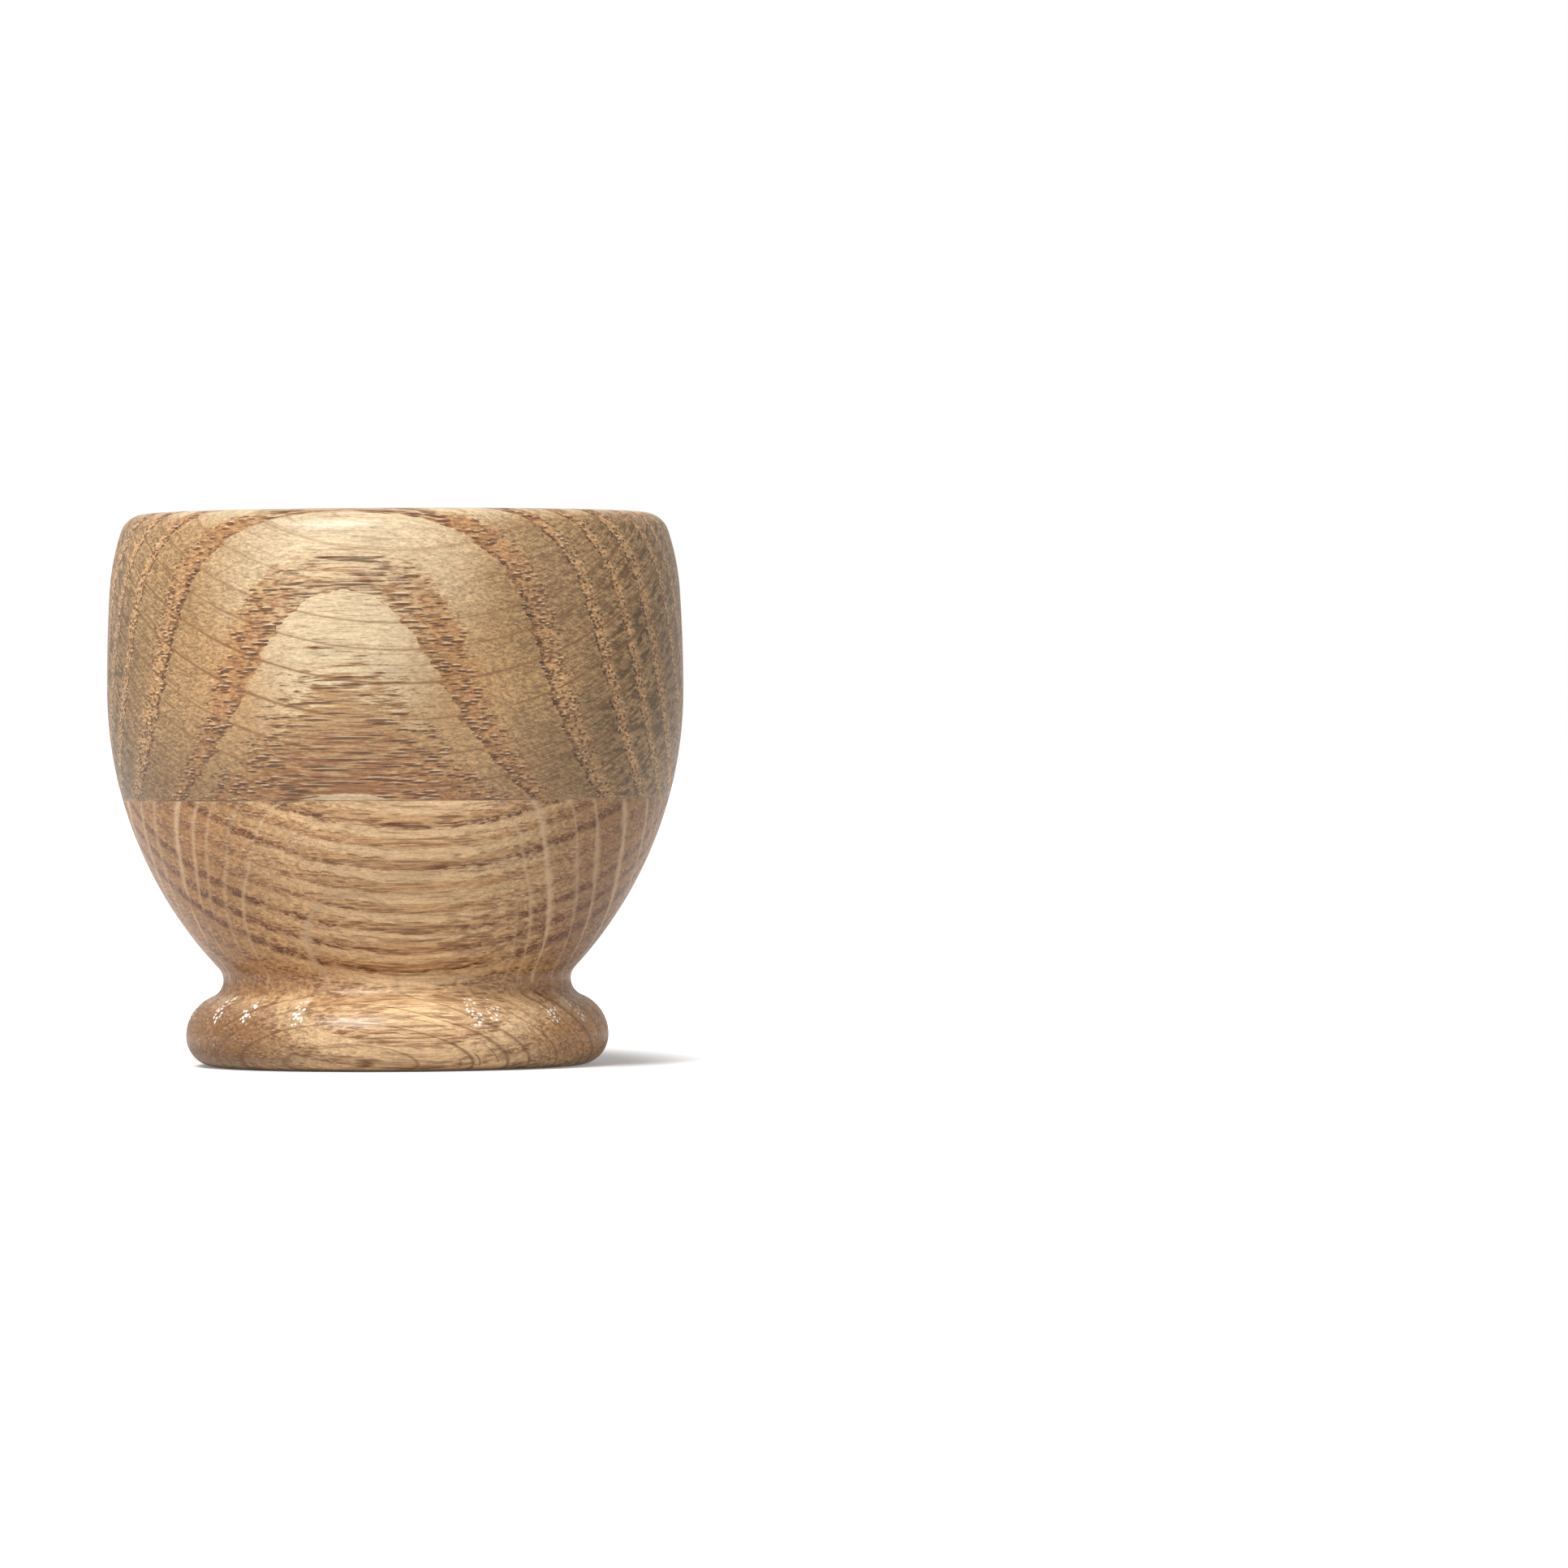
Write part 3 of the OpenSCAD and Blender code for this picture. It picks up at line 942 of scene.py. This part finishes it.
# Lower block: cut so that its rings show as rows that sag on the front, crossed by pale rays.
# Rings are the places of their dark rows, each with its strength.
lowerOak = {
    **bothOaks,
    "fibreTurn": math.radians(-4.0),
    "growth": {"Heart Back": 186.8, "Heart Up": -234.8, "Heart Distance": 300.0, "Wave": 0.3},
    "footHeights": (4.5, 9.0),
    "rayTurns": (math.radians(17.8), math.radians(15.1)),
    "rayLeans": (math.radians(-46.7), math.radians(-38.2)),
    "rings": [(11.5, 0.5), (14.0, 0.3), (17.1, 1.25), (19.4, 1.1), (21.7, 1.2), (23.8, 0.5), (25.8, 0.45),
              (28.2, 1.15), (30.2, 0.6), (32.0, 1.2)],
    "ringStep": 2.3,
    "ringsBeyond": 14,
    "ringsGrow": "front",
    "ringSets": "Edge Strength",
    "usualRing": 0.5,
    "rays": [(-9.6, 0.8), (-6.25, 0.9), (-3.25, 0.7), (-1.5, 0.5), (0.8, 1.0), (2.1, 0.7), (2.9, 0.45),
             (3.95, 0.4), (4.9, 0.6), (5.7, 0.1), (6.9, 1.0), (8.1, 0.9), (9.7, 1.0), (11.3, 0.8),
             (12.9, 0.6)],
    "rayStep": 1.6,
    "raysBeyond": 14,
    "usualRay": 0.6,
    "rayBend": 0.9,
    "slip": 0.3,
    "archGaps": (0.38, 0.1),
    "archRays": (0.85, 0.0),
    "lightRayHeights": (6.5, 8.5),
    "paleHeights": (9.0, 22.0),
    "paleWithin": (0.55, 0.7),
    "footGaps": 0.3,
    "rayStrengths": (0.75, 0.72),
    "footTan": (203, 170, 130),      # yellower than the bowl
    "footDarkFrom": (-17 * mm, -5 * mm),
    "footLevels": (0.64, 1.02),      # darker wood on the left of the foot
    "bowlLevels": (1.02, 0.83),      # the bowl is darker towards the right
    "fineRays": (0.75, 0.12),
    "cobbles": 1.0,
    "footRows": 0.3,
    # azimuths of the painted sparkle, painted highlights on the foot
    "sparkles": [-150, -118, -84, -61, -47, -29, 22, 28, 49, 62, 96, 131, 166],      # azimuths, in degrees
    "sparkleWidth": 2.6,
    "sparkleHeights": ([5.3], 1.5),
    "sparkleSoft": (0.05, 0.25),
    "colours": {
        "Pale": (228, 192, 148),
        "Tan": (208, 165, 119),
        "Early": (202, 155, 110),
        "Edge": (120, 75, 47),
        "Pore": (124, 80, 50),
        # colour of the painted glint, a painted highlight beside the pores
        "Painted Glint": (232, 204, 168),
        "Dark Ray": (122, 84, 54),
        "Light Ray": (228, 194, 156),
        "End Early": (188, 142, 100),
        "End Late": (176, 131, 87),
    },
    "grain": {
        "Ring Share": 0.5,
        "Edge Before": 0.2, "Edge After": 0.36, "Edge On Face": 0.6, "Row Breaks": 0.6,
        "Early Strength": 0.45, "Ray Step": 1.6, "Ray Width": 0.26, "Face Width": 0.35,
        "Pore Strength": 0.55, "Glint Strength": 0.4, "Streaks": 0.8, "Layers": 0.55, "Scribble": 0.7,
    },
}

glue = {
    "dark": (104, 76, 52),
    "thin": (176, 138, 100),      # where the line is so thin that the wood shows through
    "thinFrom": (0.46, 0.66),
    "patchScale": 260.0, "patchDetail": 3.0, "patchRoughness": 0.6,
    "fleckScale": 1900.0,
    "fleckFrom": (0.3, 0.7),
    "roughness": (0.42, 0.6),
    "bumpStrength": 0.4,
    "bumpDepth": 0.00005,
}


def makeGlue():
    material, tree, place = newMaterial("setGlue")
    patch = noise(place, glue["patchDetail"], glue["patchRoughness"], glue["patchScale"])[0]
    thin = ease(patch, *glue["thinFrom"])
    fleck = noise(place, scale=glue["fleckScale"])[0]
    bump = addNode(tree, "ShaderNodeBump", {
        "Height": fleck,
        "Strength": glue["bumpStrength"],
        "Distance": glue["bumpDepth"],
    })
    showSurface(tree, addNode(tree, "ShaderNodeBsdfPrincipled", {
        "Base Color": mixColour(thin, linear(*glue["dark"]), linear(*glue["thin"])),
        "Roughness": ease(fleck, *glue["fleckFrom"], *glue["roughness"]),
        "Normal": bump.outputs[0],
    }))
    return material


lathe = makeLathe()
growth = makeGrowth()
grain = makeGrain()
upperFinish = makeOak("upperOak", upperOak, growth, grain)
lowerFinish = makeOak("lowerOak", lowerOak, growth, grain)
glueFinish = makeGlue()
print("egg cup: finishes made")

upperBlock = turnPiece("upperBlock", lathe, blockOutline(glueTop, cup["height"]),
                       upperOak["fibreTurn"], upperFinish)
glueRing = turnPiece("glueRing", lathe, blockOutline(glueBottom, glueTop), 0.0, glueFinish)
lowerBlock = turnPiece("lowerBlock", lathe, blockOutline(0, glueBottom), lowerOak["fibreTurn"], lowerFinish)

for piece, node, slot in (
    (upperBlock, "upper_block", "oak_upper"),
    (glueRing, "glue_line", "wood_glue"),
    (lowerBlock, "lower_block", "oak_lower"),
):
    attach(piece, "root")
    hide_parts(node)


# Studio: a white floor that runs out of sight, soft boxes and an even white room

studio = {
    "white": (1.0, 1.0, 1.0, 1.0),
    "floorSize": 8.0,
    "floorColour": (0.86, 0.86, 0.86, 1.0),
    "floorBounce": (0.62, 0.6, 0.58, 1.0),      # the light that it throws back on the cup
    "floorLift": 0.22,        # what the floor adds to its own look near the cup, so that it reads as white
    "farLift": 1.0,           # and far from it
    "liftFrom": 0.02, "liftTo": 0.033, "liftDepth": 0.5,
    "roomLight": 0.21,        # how strongly the room lights the cup
    "roomSeen": 1.0,          # and how bright it looks
    "keyAzimuth": -31, "keyElevation": 50, "keyDistance": 0.9, "keySize": 0.38, "keyPower": 10.0,
    "fillAzimuth": 65, "fillElevation": 25, "fillDistance": 0.9, "fillSize": 0.6, "fillPower": 0.9,
    "aimHeight": 0.025,
}


def seenDirectly(tree):
    # 1 for rays that show the background to the camera, straight, mirrored or through glass
    path = addNode(tree, "ShaderNodeLightPath").outputs
    mirrored = calc("MAXIMUM", path["Is Glossy Ray"], path["Is Transmission Ray"])
    return calc("MAXIMUM", path["Is Camera Ray"], mirrored)


def makeFloor():
    half = studio["floorSize"] / 2
    corners = [(-half, -half, 0), (half, -half, 0), (half, half, 0), (-half, half, 0)]
    mesh = bpy.data.meshes.new("floor")
    mesh.from_pydata(corners, [], [(0, 1, 2, 3)])
    floor = bpy.data.objects.new("floor", mesh)
    bpy.context.collection.objects.link(floor)
    material, tree, place = newMaterial("floorPaper")
    paper = addNode(tree, "ShaderNodeBsdfDiffuse", {"Color": studio["floorColour"]})
    away = calcVector("LENGTH", stretched(place, (1.0, studio["liftDepth"], 1.0)))
    strength = ease(away, studio["liftFrom"], studio["liftTo"], studio["floorLift"], studio["farLift"])
    seen = seenDirectly(tree)
    lift = addNode(tree, "ShaderNodeEmission", {"Strength": times(seen, strength)})
    bounce = addNode(tree, "ShaderNodeBsdfDiffuse", {"Color": studio["floorBounce"]})
    shown = addNode(tree, "ShaderNodeMixShader", {0: seen, 1: bounce.outputs[0], 2: paper.outputs[0]})
    showSurface(tree, addNode(tree, "ShaderNodeAddShader", {0: shown.outputs[0], 1: lift.outputs[0]}))
    mesh.materials.append(material)


def makeRoom():
    world = bpy.data.worlds.new("room")
    bpy.context.scene.world = world
    world.use_nodes = True
    tree = world.node_tree
    tree.nodes.clear()
    light, white = (
        addNode(tree, "ShaderNodeBackground", {"Color": studio["white"], "Strength": strength}).outputs[0]
        for strength in (studio["roomLight"], studio["roomSeen"])
    )
    both = addNode(tree, "ShaderNodeMixShader", {0: seenDirectly(tree), 1: light, 2: white})
    showSurface(tree, both, "ShaderNodeOutputWorld")


def softBox(name):
    # azimuth 0 is in front of the cup and positive to the right
    turn, rise = math.radians(studio[name + "Azimuth"]), math.radians(studio[name + "Elevation"])
    away = Vector((math.sin(turn) * math.cos(rise), -math.cos(turn) * math.cos(rise), math.sin(rise)))
    lamp = bpy.data.lights.new(name + "Box", "AREA")
    lamp.shape = "SQUARE"
    lamp.size = studio[name + "Size"]
    lamp.energy = studio[name + "Power"]
    box = bpy.data.objects.new(name + "Box", lamp)
    box.location = Vector((0, 0, studio["aimHeight"])) + away * studio[name + "Distance"]
    box.rotation_euler = away.to_track_quat("Z", "Y").to_euler()
    bpy.context.collection.objects.link(box)


makeFloor()
makeRoom()
softBox("key")
softBox("fill")
print("egg cup: studio lit")

# Camera, from the photograph's perspective: a long lens just above the cup's waist
camera = {
    "lens": 212.1,
    "sensor": 36,
    "clipStart": 0.01,
    "clipEnd": 50,
    "distance": 0.8384,
    "height": 0.03064,
    "yaw": 2.404,      # degrees to the right, so that the cup stands left of the middle
    "pitch": 0.365,    # degrees down
    "roll": -0.299,
}
lens = bpy.data.cameras.new("camera")
lens.lens = camera["lens"]
lens.sensor_width = camera["sensor"]
lens.clip_start = camera["clipStart"]
lens.clip_end = camera["clipEnd"]
view = bpy.data.objects.new("camera", lens)
view.location = (0, -camera["distance"], camera["height"])
level = Euler((math.radians(90 - camera["pitch"]), 0, -math.radians(camera["yaw"])), "XYZ")
tilted = level.to_matrix() @ Euler((0, 0, math.radians(camera["roll"])), "XYZ").to_matrix()
view.rotation_euler = tilted.to_euler()
bpy.context.collection.objects.link(view)
bpy.context.scene.camera = view
bpy.context.scene.view_settings.view_transform = "Standard"
